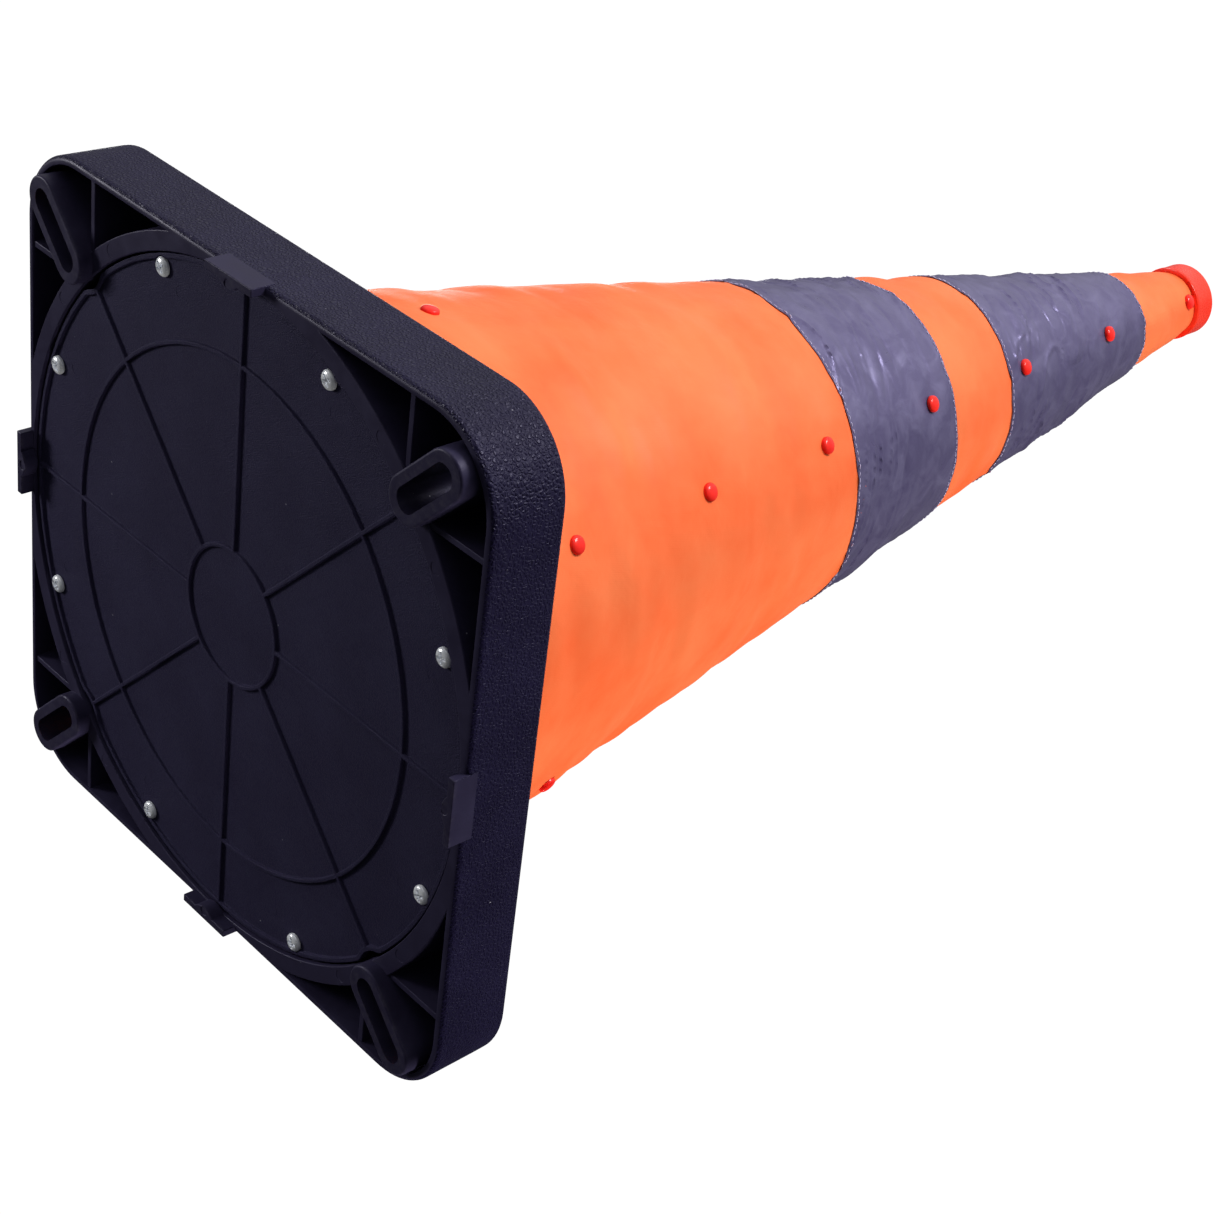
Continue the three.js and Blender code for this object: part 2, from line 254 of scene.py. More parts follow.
def turned(points, angle, shift=(0, 0)):
    """Shifts points in plan, then turns them about Z."""
    c, s = cos(radians(angle)), sin(radians(angle))
    p = np.array(points, float)
    x, y = p[:, 0] + shift[0], p[:, 1] + shift[1]
    p[:, 0], p[:, 1] = x * c - y * s, x * s + y * c
    return p


def rounding(radius, steps):
    """(inset, rise) pairs of a quarter round, from the flat end face to the side wall."""
    a = np.linspace(pi / 2, 0, steps)
    return [(radius - radius * cos(t), radius - radius * sin(t)) for t in a]


def lathe(profile, segments):
    """Rings of (radius, height) points, and whether they close. A profile from axis to axis is capped."""
    rings = [lift(circle_outline(r, segments), z) for r, z in profile if r > 0]
    on_axis = profile[0][0] <= 0
    return rings, not on_axis


def lathe_body(profile, segments):
    return body(*lathe(profile, segments))


def drop(obj):
    """Deletes a helper object and its mesh."""
    mesh = obj.data
    bpy.data.objects.remove(obj)
    bpy.data.meshes.remove(mesh)


def combine(obj, others, operation="UNION"):
    """Joins other bodies to obj, or cuts them from it, one after another."""
    for other in others:
        step = obj.modifiers.new("step", "BOOLEAN")
        step.operation = operation
        step.solver = "MANIFOLD"
        step.object = other
        bpy.context.view_layer.update()
        made = bpy.data.meshes.new_from_object(obj.evaluated_get(bpy.context.evaluated_depsgraph_get()))
        obj.modifiers.clear()
        old = obj.data
        obj.data = made
        bpy.data.meshes.remove(old)
        drop(other)
    return obj


# ======== noise
def lattice_noise(u, v, period_u, period_v, seed):
    """Smooth gradient noise, about -1 to 1, that repeats after whole periods of u and v."""
    rng = np.random.default_rng(seed)
    angle = rng.uniform(0, TURN, (period_v, period_u))
    gx, gy = np.cos(angle), np.sin(angle)
    iu, iv = np.floor(u).astype(int), np.floor(v).astype(int)
    fu, fv = u - iu, v - iv
    su, sv = fu * fu * fu * (fu * (fu * 6 - 15) + 10), fv * fv * fv * (fv * (fv * 6 - 15) + 10)

    def corner(du, dv):
        a, b = (iv + dv) % period_v, (iu + du) % period_u
        return gx[a, b] * (fu - du) + gy[a, b] * (fv - dv)

    low = corner(0, 0) * (1 - su) + corner(1, 0) * su
    high = corner(0, 1) * (1 - su) + corner(1, 1) * su
    return 1.5 * (low * (1 - sv) + high * sv)


def smooth(x):
    x = np.clip(x, 0, 1)
    return x * x * (3 - 2 * x)


# ======== materials
def output(source):
    """A node stands for its first output."""
    return source.outputs[0] if isinstance(source, bpy.types.Node) else source


def node_maker(tree):
    """A helper that adds a node. Its inputs are named with _ for a space, or numbered as i0, i1."""

    def node(kind, settings=(), **inputs):
        made = tree.nodes.new("ShaderNode" + kind)
        for k, v in dict(settings).items():
            setattr(made, k, v)
        for k, v in inputs.items():
            numbered = k[0] == "i" and k[1:].isdigit()
            socket = made.inputs[int(k[1:]) if numbered else k.replace("_", " ")]
            v = output(v)
            if isinstance(v, bpy.types.NodeSocket):
                tree.links.new(v, socket)
            else:
                socket.default_value = v
        return made

    return node


def shader(name, colour, roughness, **constants):
    """A Principled material, helpers that add a node and link one to the shader, and its own place."""
    m = bpy.data.materials.new(name)
    m.use_nodes = True
    tree = m.node_tree
    main = tree.nodes["Principled BSDF"]
    main.inputs["Base Color"].default_value = (*colour, 1)
    main.inputs["Roughness"].default_value = roughness
    for k, v in constants.items():
        main.inputs[k.replace("_", " ")].default_value = v
    m.diffuse_color = (*colour, 1)

    def link(source, socket):
        tree.links.new(output(source), main.inputs[socket])

    node = node_maker(tree)
    return m, node, link, node("TexCoord").outputs["Object"]


def ranged(node, value, a, b, c=0, d=1):
    """Maps a value from the range a to b onto c to d."""
    return node("MapRange", Value=value, From_Min=a, From_Max=b, To_Min=c, To_Max=d)


def mixed(node, amount, a, b):
    """One colour at amount 0, the other at 1."""
    return node("Mix", {"data_type": "RGBA"}, i0=amount, i6=a, i7=b).outputs[2]


def maths(node, operation, *values):
    """One arithmetic node."""
    return node("Math", {"operation": operation}, **{f"i{k}": v for k, v in enumerate(values)})


def bumped(node, link, height, strength, depth_mm, **under):
    """A bump in millimetres, over another one where it is given."""
    link(node("Bump", Height=height, Strength=strength, Distance=depth_mm * MM, **under), "Normal")


def tinted(node, link, factor, dark, light, low, high):
    """Base colour that drifts between two tones as a texture goes from low to high."""
    spread = ranged(node, factor, low, high)
    link(mixed(node, spread, (*dark, 1), (*light, 1)), "Base Color")


def dusty(node, link, where, colour, light, spread):
    """Base colour with slow drift, scuffs near the ground and a few pale specks."""
    drift = ranged(node, spread, 0.38, 0.68)
    tone = mixed(node, drift, (*colour, 1), (*light, 1))
    height = node("SeparateXYZ", Vector=where).outputs["Z"]
    ground = ranged(node, height, 0.3 * MM, 2.2 * MM, 1, 0)
    rubs = node("TexNoise", Vector=where, Scale=240, Detail=5, Roughness=0.7)
    rubbed = ranged(node, rubs, 0.46, 0.72, 0, 0.6)
    scuff = maths(node, "MULTIPLY", ground, rubbed)
    worn = mixed(node, scuff, tone, (0.06, 0.055, 0.08, 1))
    cells = node("TexVoronoi", Vector=where, Scale=85, Randomness=1)
    dots = ranged(node, cells.outputs["Distance"], 0.018, 0.034, 1, 0)
    chosen = node("SeparateXYZ", Vector=cells.outputs["Color"])
    few = maths(node, "GREATER_THAN", chosen, 0.66)
    speck = maths(node, "MULTIPLY", dots, few)
    link(mixed(node, speck, worn, (0.3, 0.29, 0.34, 1)), "Base Color")


def leather_plastic(name, colour, light, roughness, cell_mm, depth_mm, shine):
    """Moulded black plastic with a pebbled leather grain."""
    m, node, link, where = shader(name, colour, roughness, IOR=1.48, Specular_IOR_Level=shine,
                                  Specular_Tint=(0.78, 0.74, 1.0, 1))
    bend = node("TexNoise", Vector=where, Scale=380, Detail=2)
    shifted = node("VectorMath", {"operation": "MULTIPLY_ADD"}, i0=bend.outputs["Color"],
                   i1=(1.2 * MM,) * 3, i2=where)
    cells = node("TexVoronoi", {"feature": "DISTANCE_TO_EDGE"}, Vector=shifted, Scale=1 / (cell_mm * MM))
    pebbles = node("MapRange", {"interpolation_type": "SMOOTHSTEP"}, Value=cells.outputs["Distance"],
                   From_Min=0.0, From_Max=0.34)
    fine = node("TexNoise", Vector=where, Scale=2600, Detail=3)
    height = maths(node, "MULTIPLY_ADD", fine, 0.3, pebbles)
    bumped(node, link, height, 1.0, depth_mm)
    patches = node("TexNoise", Vector=where, Scale=24, Detail=5, Roughness=0.6)
    dusty(node, link, where, colour, light, patches)
    link(ranged(node, pebbles, 0, 1, roughness + 0.2, roughness), "Roughness")
    return m


def smooth_plastic(name, colour, light, roughness, shine):
    """Plain moulded plastic: faint flow marks, specks and fine surface noise."""
    m, node, link, where = shader(name, colour, roughness, IOR=1.48, Specular_IOR_Level=shine,
                                  Specular_Tint=(0.78, 0.74, 1.0, 1))
    flow = node("TexNoise", Vector=where, Scale=60, Detail=6, Roughness=0.65, Distortion=0.6)
    dusty(node, link, where, colour, light, flow)
    grain = node("TexNoise", Vector=where, Scale=1500, Detail=3)
    height = maths(node, "MULTIPLY_ADD", flow, 1.5, grain)
    bumped(node, link, height, 0.8, 0.05)
    link(ranged(node, flow, 0.3, 0.7, roughness - 0.05, roughness + 0.08), "Roughness")
    return m


def gloss_plastic(name, colour, dark, roughness):
    """Red glossy plastic with slight colour drift and moulding ripple."""
    m, node, link, where = shader(name, colour, roughness, IOR=1.5, Specular_IOR_Level=0.24,
                                  Coat_Weight=0.04, Coat_Roughness=0.05)
    drift = node("TexNoise", Vector=where, Scale=160, Detail=3)
    tinted(node, link, drift, dark, colour, 0.3, 0.6)
    bumped(node, link, drift, 0.35, 0.08)
    scratch = node("TexNoise", Vector=where, Scale=900, Detail=4)
    link(ranged(node, scratch, 0.3, 0.7, roughness * 0.8, roughness * 1.3), "Roughness")
    return m


def zinc_metal(name):
    """Bright zinc plate: turned marks and a slightly blue patina."""
    m, node, link, where = shader(name, (0.9, 0.92, 1.0), 0.2, Metallic=0.25)
    marks = node("TexNoise", Vector=where, Scale=1400, Detail=4)
    tinted(node, link, marks, (0.88, 0.92, 1.0), (0.97, 0.98, 1.0), 0.3, 0.65)
    link(ranged(node, marks, 0.3, 0.7, 0.14, 0.3), "Roughness")
    bumped(node, link, marks, 0.4, 0.04)
    return m


def threads(node, where, pitch_mm):
    """Height of a plain weave on flat fabric coordinates."""
    turns = pi / (pitch_mm * MM)
    split = node("SeparateXYZ", Vector=where)
    waves = []
    for axis in (0, 1):
        across = maths(node, "MULTIPLY", split.outputs[axis], turns)
        waves.append(maths(node, "SINE", across))
    return maths(node, "MULTIPLY", *waves)


def coated_fabric(name, colour, deep):
    """PVC coated orange polyester: weave telling through, soft creases and colour that drifts in broad
    patches between a deep and a light orange.
    """
    m, node, link, where = shader(name, colour, 0.5, IOR=1.42, Specular_IOR_Level=0.24, Sheen_Weight=0.05,
                                  Sheen_Roughness=0.4, Sheen_Tint=(1.0, 0.6, 0.35, 1))
    weave = threads(node, node("TexCoord").outputs["UV"], 0.55)
    crumple = node("TexNoise", Vector=where, Scale=38, Detail=6, Roughness=0.55, Distortion=0.4)
    cloud = node("TexNoise", Vector=where, Scale=14, Detail=4, Roughness=0.6)
    tinted(node, link, cloud, deep, colour, 0.36, 0.62)
    soft = node("Bump", Height=crumple, Strength=0.6, Distance=1.4 * MM)
    bumped(node, link, weave, 0.4, 0.06, Normal=soft)
    link(ranged(node, crumple, 0.3, 0.7, 0.4, 0.58), "Roughness")
    return m


def tape_with_painted_highlights(name, colour, light):
    """Grey retro-reflective tape: beaded surface, creased film, and a paler tone on the crumple's raised
    crests that is a painted highlight.
    """
    m, node, link, where = shader(name, colour, 0.38, IOR=1.5, Metallic=0.3,
                                  Specular_Tint=(0.85, 0.85, 1.0, 1))
    beads = node("TexVoronoi", Vector=where, Scale=2200)
    crumple = node("TexNoise", Vector=where, Scale=70, Detail=7, Roughness=0.6, Distortion=0.8)
    # Paler tone where the crumple rises: a painted highlight on the film's crests.
    tinted(node, link, crumple, colour, light, 0.42, 0.7)
    creases = node("TexNoise", {"noise_type": "RIDGED_MULTIFRACTAL"}, Vector=where, Scale=26, Detail=4)
    soft = node("Bump", Height=crumple, Strength=0.45, Distance=1.0 * MM)
    folds = node("Bump", Height=creases, Strength=0.2, Distance=0.6 * MM, Normal=soft)
    bumped(node, link, beads.outputs["Distance"], 0.3, 0.05, Normal=folds)
    link(ranged(node, crumple, 0.3, 0.7, 0.27, 0.42), "Roughness")
    return m


def thread_material(name, colour, dark):
    """Twisted sewing thread."""
    m, node, link, where = shader(name, colour, 0.6, Sheen_Weight=0.3)
    twist = node("TexWave", Vector=where, Scale=900, Distortion=2)
    tinted(node, link, twist.outputs["Color"], dark, colour, 0.2, 0.8)
    bumped(node, link, twist.outputs["Color"], 0.5, 0.05)
    return m


GRAINED = leather_plastic("grained_black", (0.0075, 0.0055, 0.023), (0.0115, 0.009, 0.033),
                          roughness=0.32, cell_mm=1.8, depth_mm=0.34, shine=0.24)
PLAIN_BLACK = smooth_plastic("plain_black", (0.022, 0.0185, 0.043), (0.03, 0.026, 0.058),
                             roughness=0.42, shine=0.17)
COVER_BLACK = leather_plastic("cover_black", (0.023, 0.0195, 0.049), (0.029, 0.0255, 0.06),
                              roughness=0.5, cell_mm=0.9, depth_mm=0.16, shine=0.12)
SECTION_BLACK = smooth_plastic("section_black", (0.014, 0.014, 0.016), (0.022, 0.021, 0.024),
                               roughness=0.4, shine=0.4)
ZINC = zinc_metal("zinc_plate")
RIVET_RED = gloss_plastic("rivet_red", (1.0, 0.026, 0.016), (0.86, 0.014, 0.009), 0.2)
COLLAR_RED = gloss_plastic("collar_red", (1.0, 0.042, 0.016), (0.98, 0.034, 0.012), 0.26)
ORANGE = coated_fabric("orange_fabric", (1.0, 0.206, 0.066), (1.0, 0.148, 0.038))
# The second, paler tone is the painted highlight on the tape's crumpled crests.
TAPE_PAINTED_HIGHLIGHTS = tape_with_painted_highlights("grey_tape_painted_highlights", (0.1, 0.084, 0.18), (0.15, 0.133, 0.245))
GREY_THREAD = thread_material("grey_thread", (0.62, 0.57, 0.78), (0.4, 0.35, 0.55))
ORANGE_THREAD = thread_material("orange_thread", (0.95, 0.2, 0.07), (0.7, 0.11, 0.035))


# ======== base moulding
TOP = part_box("base_shell")[1][2] / MM
SKIN_OUTLINE = square_outline(BASE_HALF, CORNER_R)
SKIN_ANGLES = np.arctan2(SKIN_OUTLINE[:, 1], SKIN_OUTLINE[:, 0])


def square_ring(inset, z):
    """The base's outline, moved inwards."""
    return lift(square_outline(BASE_HALF - inset, CORNER_R - inset), z)


def round_ring(radius, z):
    """A circle whose points match square_ring's, so that the two can be joined."""
    return lift(around_z(radius, SKIN_ANGLES), z)


def base_skin():
    """Rim, outer walls, deck with its raised ring, and inner walls, as one closed sweep."""
    rings = []

    def lean(z):
        return DRAFT * (z - RIM_Z) / (TOP - RIM_Z)

    for inset, rise in rounding(0.5, 3)[::-1]:
        rings.append(square_ring(WALL - inset, RIM_Z + rise))
    for inset, rise in rounding(EDGE_ROUND, 7):
        rings.append(square_ring(inset + lean(RIM_Z + rise), RIM_Z + rise))
    for z in np.linspace(RIM_Z + EDGE_ROUND, TOP - TOP_ROUND, 6)[1:-1]:
        rings.append(square_ring(lean(z), z))
    for inset, rise in rounding(TOP_ROUND, 7)[::-1]:
        rings.append(square_ring(inset + DRAFT, TOP - rise))
    rings.append(square_ring(DECK_FLAT_FROM, TOP))
    for radius, rise in DECK_RING:
        rings.append(round_ring(radius, TOP + rise))
    under = TOP - DECK
    rings.append(round_ring(OPENING_R, under + 0.4))
    rings.append(round_ring(OPENING_R + 0.4, under))
    rings.append(round_ring(144, under))
    for a in np.linspace(0, pi / 2, 5):
        rings.append(square_ring(WALL + FILLET * (1 - sin(a)), under - FILLET * (1 - cos(a))))
    for z in np.linspace(under - FILLET, RIM_Z + 0.5, 5)[1:-1]:
        rings.append(square_ring(WALL, z))
    return body(rings, True)


def ring_wall():
    """Circular wall round the cover. Where it meets the sides it ends inside them."""
    n = 240
    a = np.arange(n) * TURN / n
    outer = np.minimum(RING_OUT, (BASE_HALF - INTO_WALL) / np.maximum(abs(np.cos(a)), abs(np.sin(a))))
    top = TOP - INTO_DECK
    edge = rounding(RING_EDGE, 4)
    rings = []

    def ring(radius, z):
        rings.append(lift(around_z(radius, a), z))

    ring(RING_IN, top)
    for inset, rise in edge[::-1]:
        ring(RING_IN + inset, RIM_Z + rise)
    for inset, rise in edge:
        ring(outer - inset, RIM_Z + rise)
    ring(outer, top)
    return body(rings, True)


def bar(x0, x1, y, width, z0, z1, angle):
    """A straight rib along X with its lower edges rounded, turned about Z."""
    h, edge = width / 2, 0.4
    section = [(-h, z1), (-h, z0 + edge)]
    section += [(-h + i, z0 + r) for i, r in rounding(edge, 4)[::-1]][1:]
    section += [(h - i, z0 + r) for i, r in rounding(edge, 4)]
    section += [(h, z1)]
    rings = [turned(np.array([[x, y + v, z] for v, z in section]), angle) for x in (x0, x1)]
    return body(rings, False)


def foot(angle):
    """A slotted corner foot from the floor to the deck, before its slot is cut."""
    rings = []
    for inset, rise in rounding(1.2, 6):
        outline = oval_outline(FOOT_LENGTH - 2 * inset, FOOT_WIDTH - 2 * inset)
        rings.append(turned(lift(outline, rise), angle, (FOOT_AT, 0)))
    for z in (12, 25, TOP - INTO_DECK):
        rings.append(turned(lift(oval_outline(FOOT_LENGTH, FOOT_WIDTH), z), angle, (FOOT_AT, 0)))
    return body(rings, False)


def slot_cutter(angle):
    """Cuts the slot, with rounded mouths at both ends."""
    rings = []
    low, high = 0.9, 0.6
    steps = [(low, -2)] + [(low - i, r) for i, r in rounding(low, 5)]
    steps += [(high - i, TOP - r) for i, r in rounding(high, 4)[::-1]] + [(high, TOP + 3)]
    for grow, z in steps:
        outline = oval_outline(SLOT_LENGTH + 2 * grow, SLOT_WIDTH + 2 * grow)
        rings.append(turned(lift(outline, z), angle, (FOOT_AT, 0)))
    return body(rings, False)


def rounded_block(x0, x1, y0, y1, z0, z1, edge, angle):
    """A block standing along Z with rounded vertical edges and a rounded lower face."""
    cx, cy = (x0 + x1) / 2, (y0 + y1) / 2
    rings = []
    for inset, rise in rounding(edge, 4) + [(0, z1 - z0)]:
        w, d = (x1 - x0) / 2 - inset, (y1 - y0) / 2 - inset
        r = max(edge - inset, 0.05)
        outline = []
        for q, (sx, sy) in enumerate(((1, 1), (-1, 1), (-1, -1), (1, -1))):
            for a in np.linspace(0, pi / 2, 4):
                p = polar(r, q * pi / 2 + a)
                outline.append([cx + sx * (w - r) + p[0], cy + sy * (d - r) + p[1]])
        rings.append(turned(lift(np.array(outline), z0 + rise), angle))
    return body(rings, False)


def clip_parts(angle):
    """A mid-side clip: plate flush with the wall, and a half-round hook over the cover's edge."""
    half = CLIP_LENGTH / 2
    plate = rounded_block(CLIP_IN, CLIP_OUT - 0.1, -half, half, 0, CLIP_TOP, 0.45, angle)
    rings = []
    root = CLIP_IN + 2
    even = np.linspace(0, 1, 28)
    a = np.linspace(pi / 2, 1.5 * pi, 40)
    for inset, rise in rounding(0.5, 4) + [(0, HOOK_TOP - 0.3), (0.3, HOOK_TOP)]:
        r = HOOK_R - inset
        arc = np.column_stack([HOOK_AT + r * np.cos(a), r * np.sin(a)])
        reach = sqrt(r * r - (HOOK_AT - root) ** 2)
        arc = arc[arc[:, 0] < root - 0.1]
        along = np.linspace(0, 1, len(arc))
        arc = np.column_stack([np.interp(even, along, arc[:, 0]), np.interp(even, along, arc[:, 1])])
        outline = np.vstack([arc, [[root, -reach], [root, reach]]])
        rings.append(turned(lift(outline, rise), angle))
    return [plate, body(rings, False)]


def dimple(angle):
    """A shallow round mark in the lower face of a clip's hook."""
    rings = [lift(circle_outline(r, 28), z) for r, z in ((2.5, -1), (2.5, 0), (2.3, 0.15), (2.25, 0.45))]
    return body([turned(r, angle, (CLIP_IN - 0.9, 0)) for r in rings], False)


def screw_post(angle):
    """A tube under the deck that a cover screw goes into."""
    profile = [(POST_HOLE_R, POST_FOOT), (POST_R, POST_FOOT), (POST_R, TOP - INTO_DECK),
               (POST_HOLE_R, TOP - INTO_DECK)]
    rings, closed = lathe(profile, 20)
    return body([turned(r, angle, (SCREW_CIRCLE, 0)) for r in rings], closed)


def ejector_mark(radius_at, angle, face, radius, depth):
    """A shallow round pin mark in a face that looks down."""
    rings = [lift(circle_outline(radius, 28), z) for z in (face - 1, face)]
    rings.append(lift(circle_outline(radius - 0.12, 28), face + depth))
    return body([turned(r, angle, (radius_at, 0)) for r in rings], False)


def base_grain(mesh):
    """Leather grain on the outer walls and the deck, plain plastic on the rim and everything inside."""
    mesh.materials.clear()
    mesh.materials.append(PLAIN_BLACK)
    mesh.materials.append(GRAINED)
    for face in mesh.polygons:
        x, y, z = np.array(face.center) / MM
        outline = max(abs(x), abs(y))
        corner = hypot(max(abs(x) - BASE_HALF + CORNER_R, 0), max(abs(y) - BASE_HALF + CORNER_R, 0))
        outside = corner > CORNER_R - INTO_WALL or outline > BASE_HALF - INTO_WALL
        wall = outside and z > RIM_Z and face.normal.z > -0.85
        deck = z > TOP - 1.5 and face.normal.z > 0.05
        face.material_index = 1 if wall or deck else 0


def make_base():
    """The base moulding: ribs, feet, clips and posts joined to the skin, then slots and marks cut."""
    parts = [ring_wall()]
    for angle in CORNERS:
        q = angle - 45
        far = BASE_HALF - WALL / 2
        parts.append(bar(RIB_START, far, RIB_AT, RIB_T, RIM_Z + 1, TOP - INTO_DECK, q))
        parts.append(bar(RIB_START, far, -RIB_AT, RIB_T, RIM_Z + 1, TOP - INTO_DECK, q + 90))
        parts.append(foot(angle))
    for angle in SIDES:
        parts += clip_parts(angle)
    parts += [screw_post(a) for a in SCREWS]
    base = combine(base_skin(), parts)
    cuts = [slot_cutter(a) for a in CORNERS] + [dimple(a) for a in SIDES]
    cuts += [ejector_mark(165.5, a + s * 9.5, RIM_Z, 3.0, 0.18) for a in CORNERS for s in (-1, 1)]
    base = combine(base, cuts, "DIFFERENCE")
    base_grain(base.data)
    made = place("base_shell_moulding", base.data.copy(), MOULDED, True)
    drop(base)
    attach(made, "base")
    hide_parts("base_shell")


# ======== bottom cover
def notch_limit(a, reach):
    """How far from the axis a ray may go before it meets the round notch about a foot's end."""
    off = a % (pi / 2) - pi / 4
    side = NOTCH_AT * np.sin(off)
    inside = reach * reach - side * side
    return np.where(inside > 0, NOTCH_AT * np.cos(off) - np.sqrt(np.maximum(inside, 0)), NO_LIMIT)


def cover_outline(radius, reach):
    """The cover's edge as radius against angle: a circle dented round each foot, dents blended in."""
    n, fillet = 720, 1.5
    a = np.arange(n) * TURN / n
    limit = notch_limit(a, reach)
    blend = np.clip(0.5 - (limit - radius) / (2 * fillet), 0, 1)
    return a, radius * (1 - blend) + limit * blend - fillet * blend * (1 - blend)


def cover_disc():
    """The disc and its raised lip in one sweep, from the upper face round the edge to the lower face."""
    a, outer = cover_outline(COVER_R, NOTCH_R)
    _, inner = cover_outline(COVER_R - LIP, NOTCH_R + LIP)
    low = COVER_FACE - RIB_H
    rings = []

    def ring(radius, z):
        rings.append(lift(around_z(radius, a), z))

    ring(outer * 0.5, COVER_FACE + COVER_T)
    ring(outer, COVER_FACE + COVER_T)
    for inset, rise in rounding(0.5, 4)[::-1]:
        ring(outer - inset, low + rise)
    for inset, rise in rounding(0.5, 4):
        ring(inner + inset, low + rise)
    for t in np.linspace(0, pi / 2, 4):
        ring(inner - 0.4 * (1 - cos(t)), COVER_FACE - 0.4 + 0.4 * sin(t))
    ring(inner * 0.5, COVER_FACE)
    return body(rings, False)


def rib_section():
    """A rib's section, (across, height) points: soft roots on the cover's face and a rounded tip."""
    h, low = RIB_W / 2, COVER_FACE - RIB_H
    half = [(h + 0.35, COVER_FACE + 0.6), (h + 0.35, COVER_FACE), (h + 0.12, COVER_FACE - 0.12),
            (h, COVER_FACE - 0.4)]
    half += [(h - i, low + r) for i, r in rounding(0.5, 4)[::-1]]
    return half + [(-x, z) for x, z in half[::-1]]


def raised_ring(radius):
    """A ring rib standing down from the cover's face."""
    profile = [(radius + x, z) for x, z in rib_section()]
    return lathe_body(profile, 160 if radius > 60 else 72)


def radial_rib(angle, start, end):
    """A straight rib standing down from the cover's face."""
    rings = [turned(np.array([[x, y, z] for y, z in rib_section()]), angle) for x in (start, end)]
    return body(rings, False)


def screw_seat(angle):
    """Cuts room for a screw's head and shank."""
    wide = SCREW_R + 0.5
    steps = ((wide, 5), (wide, COVER_FACE), (POST_HOLE_R, COVER_FACE + 0.05), (POST_HOLE_R, 20))
    rings = [lift(circle_outline(r, 32), z) for r, z in steps]
    return body([turned(r, angle, (SCREW_CIRCLE, 0)) for r in rings], False)


def make_cover():
    """The bottom cover with its rings, ribs and screw seats."""
    parts = [raised_ring(r) for r in COVER_RINGS]
    for i in range(8):
        end = COVER_R if i % 2 == 0 else NOTCH_AT - NOTCH_R
        parts.append(radial_rib(45 * i, COVER_RINGS[0], end - 1.2))
    cover = combine(cover_disc(), parts)
    cuts = []
    for angle in SCREWS:
        cuts.append(screw_seat(angle))
        cuts.append(ejector_mark(143, angle + 3.5, COVER_FACE, 3.2, 0.12))
    cover = combine(cover, cuts, "DIFFERENCE")
    cover.data.materials.clear()
    cover.data.materials.append(COVER_BLACK)
    made = place("bottom_cover_moulding", cover.data.copy(), MOULDED, True)
    drop(cover)
    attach(made, "base")
    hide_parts("bottom_cover")


def cross_cutter():
    """A tapered cross recess for the screw heads, opening downwards."""
    arm, reach = 0.8, 3.0
    plus = np.array([(reach, -arm), (reach, arm), (arm, arm), (arm, reach), (-arm, reach), (-arm, arm),
                     (-reach, arm), (-reach, -arm), (-arm, -arm), (-arm, -reach), (arm, -reach),
                     (arm, -arm)])
    head = SCREW_FACE - SCREW_H
    return body([lift(plus * 1.15, head - 0.6), lift(plus * 0.62, head + 2.0)], False)


def screw_body():
    """A pan-head screw, head down, with a plain shank."""
    rim = 0.7
    a = np.linspace(0.04, pi / 2, 9)
    dome = [(SCREW_R * sin(t) ** 0.8, SCREW_FACE - rim - (SCREW_H - rim) * cos(t)) for t in a]
    end = SCREW_FACE + SCREW_LENGTH
    profile = [(0, SCREW_FACE - SCREW_H)] + dome
    profile += [(SCREW_R, SCREW_FACE), (SCREW_SHANK, SCREW_FACE), (SCREW_SHANK, end), (0, end)]
    return combine(lathe_body(profile, 40), [cross_cutter()], "DIFFERENCE")


def make_screws():
    """The eight cover screws, each stopped at its own turn."""
    screw = screw_body()
    screw.data.materials.clear()
    screw.data.materials.append(ZINC)
    for k, angle in enumerate(SCREWS):
        mesh = screw.data.copy()
        x, y = polar(SCREW_CIRCLE, radians(angle)) * MM
        spin = Matrix.Rotation(radians(angle * 2.3 + 20), 4, "Z")
        mesh.transform(Matrix.Translation((x, y, 0)) @ spin)
        made = place(f"pan_screw_{k + 1}", mesh, TURNED, True)
        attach(made, "base")
        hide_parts(f"cover_screw_{k + 1}")
    drop(screw)


# ======== cone surface
SLEEVE = node_points("sleeve")
BOTTOM, SLEEVE_TOP = SLEEVE[:, 2].min(), SLEEVE[:, 2].max()
R_BOTTOM = np.hypot(*SLEEVE[SLEEVE[:, 2] < BOTTOM + 0.01][:, :2].T).max()
R_TOP = np.hypot(*SLEEVE[SLEEVE[:, 2] > SLEEVE_TOP - 0.01][:, :2].T).max()
SLOPE = (R_BOTTOM - R_TOP) / (SLEEVE_TOP - BOTTOM)
TILT = atan(SLOPE)
APEX = BOTTOM + R_BOTTOM / SLOPE
SECTOR = TURN * sin(TILT)


def cone_radius(z):
    """The plain cone that the fabric's outer face follows."""
    return R_BOTTOM - SLOPE * (z - BOTTOM)


def rivet_seat(node):
    """(seat point, outward axis) of a CAD rivet: its head's flat side and the way it points."""
    p = node_points(node)
    centre = p.mean(0)
    a = atan2(centre[1], centre[0])
    out = np.array([cos(a) * cos(TILT), sin(a) * cos(TILT), sin(TILT)])
    tip = centre + out * ((p - centre) @ out).max()
    return tip - CAD_RIVET_H * out, out


RIVETS = {n: rivet_seat(n) for n in sorted(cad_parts) if n.startswith("rivet_")}
LEVELS = [float(np.mean([s[2] for n, (s, _) in RIVETS.items() if n.startswith(f"rivet_{i}_")]))
          for i in range(1, 8)]
BODIES = ["base"] + [f"telescope_{i}" for i in range(2, 8)]
BAND_EDGES = []
for band in ("reflective_band_1", "reflective_band_2"):
    z = node_points(band)[:, 2]
    BAND_EDGES.append((float(z.min()), float(z.max())))


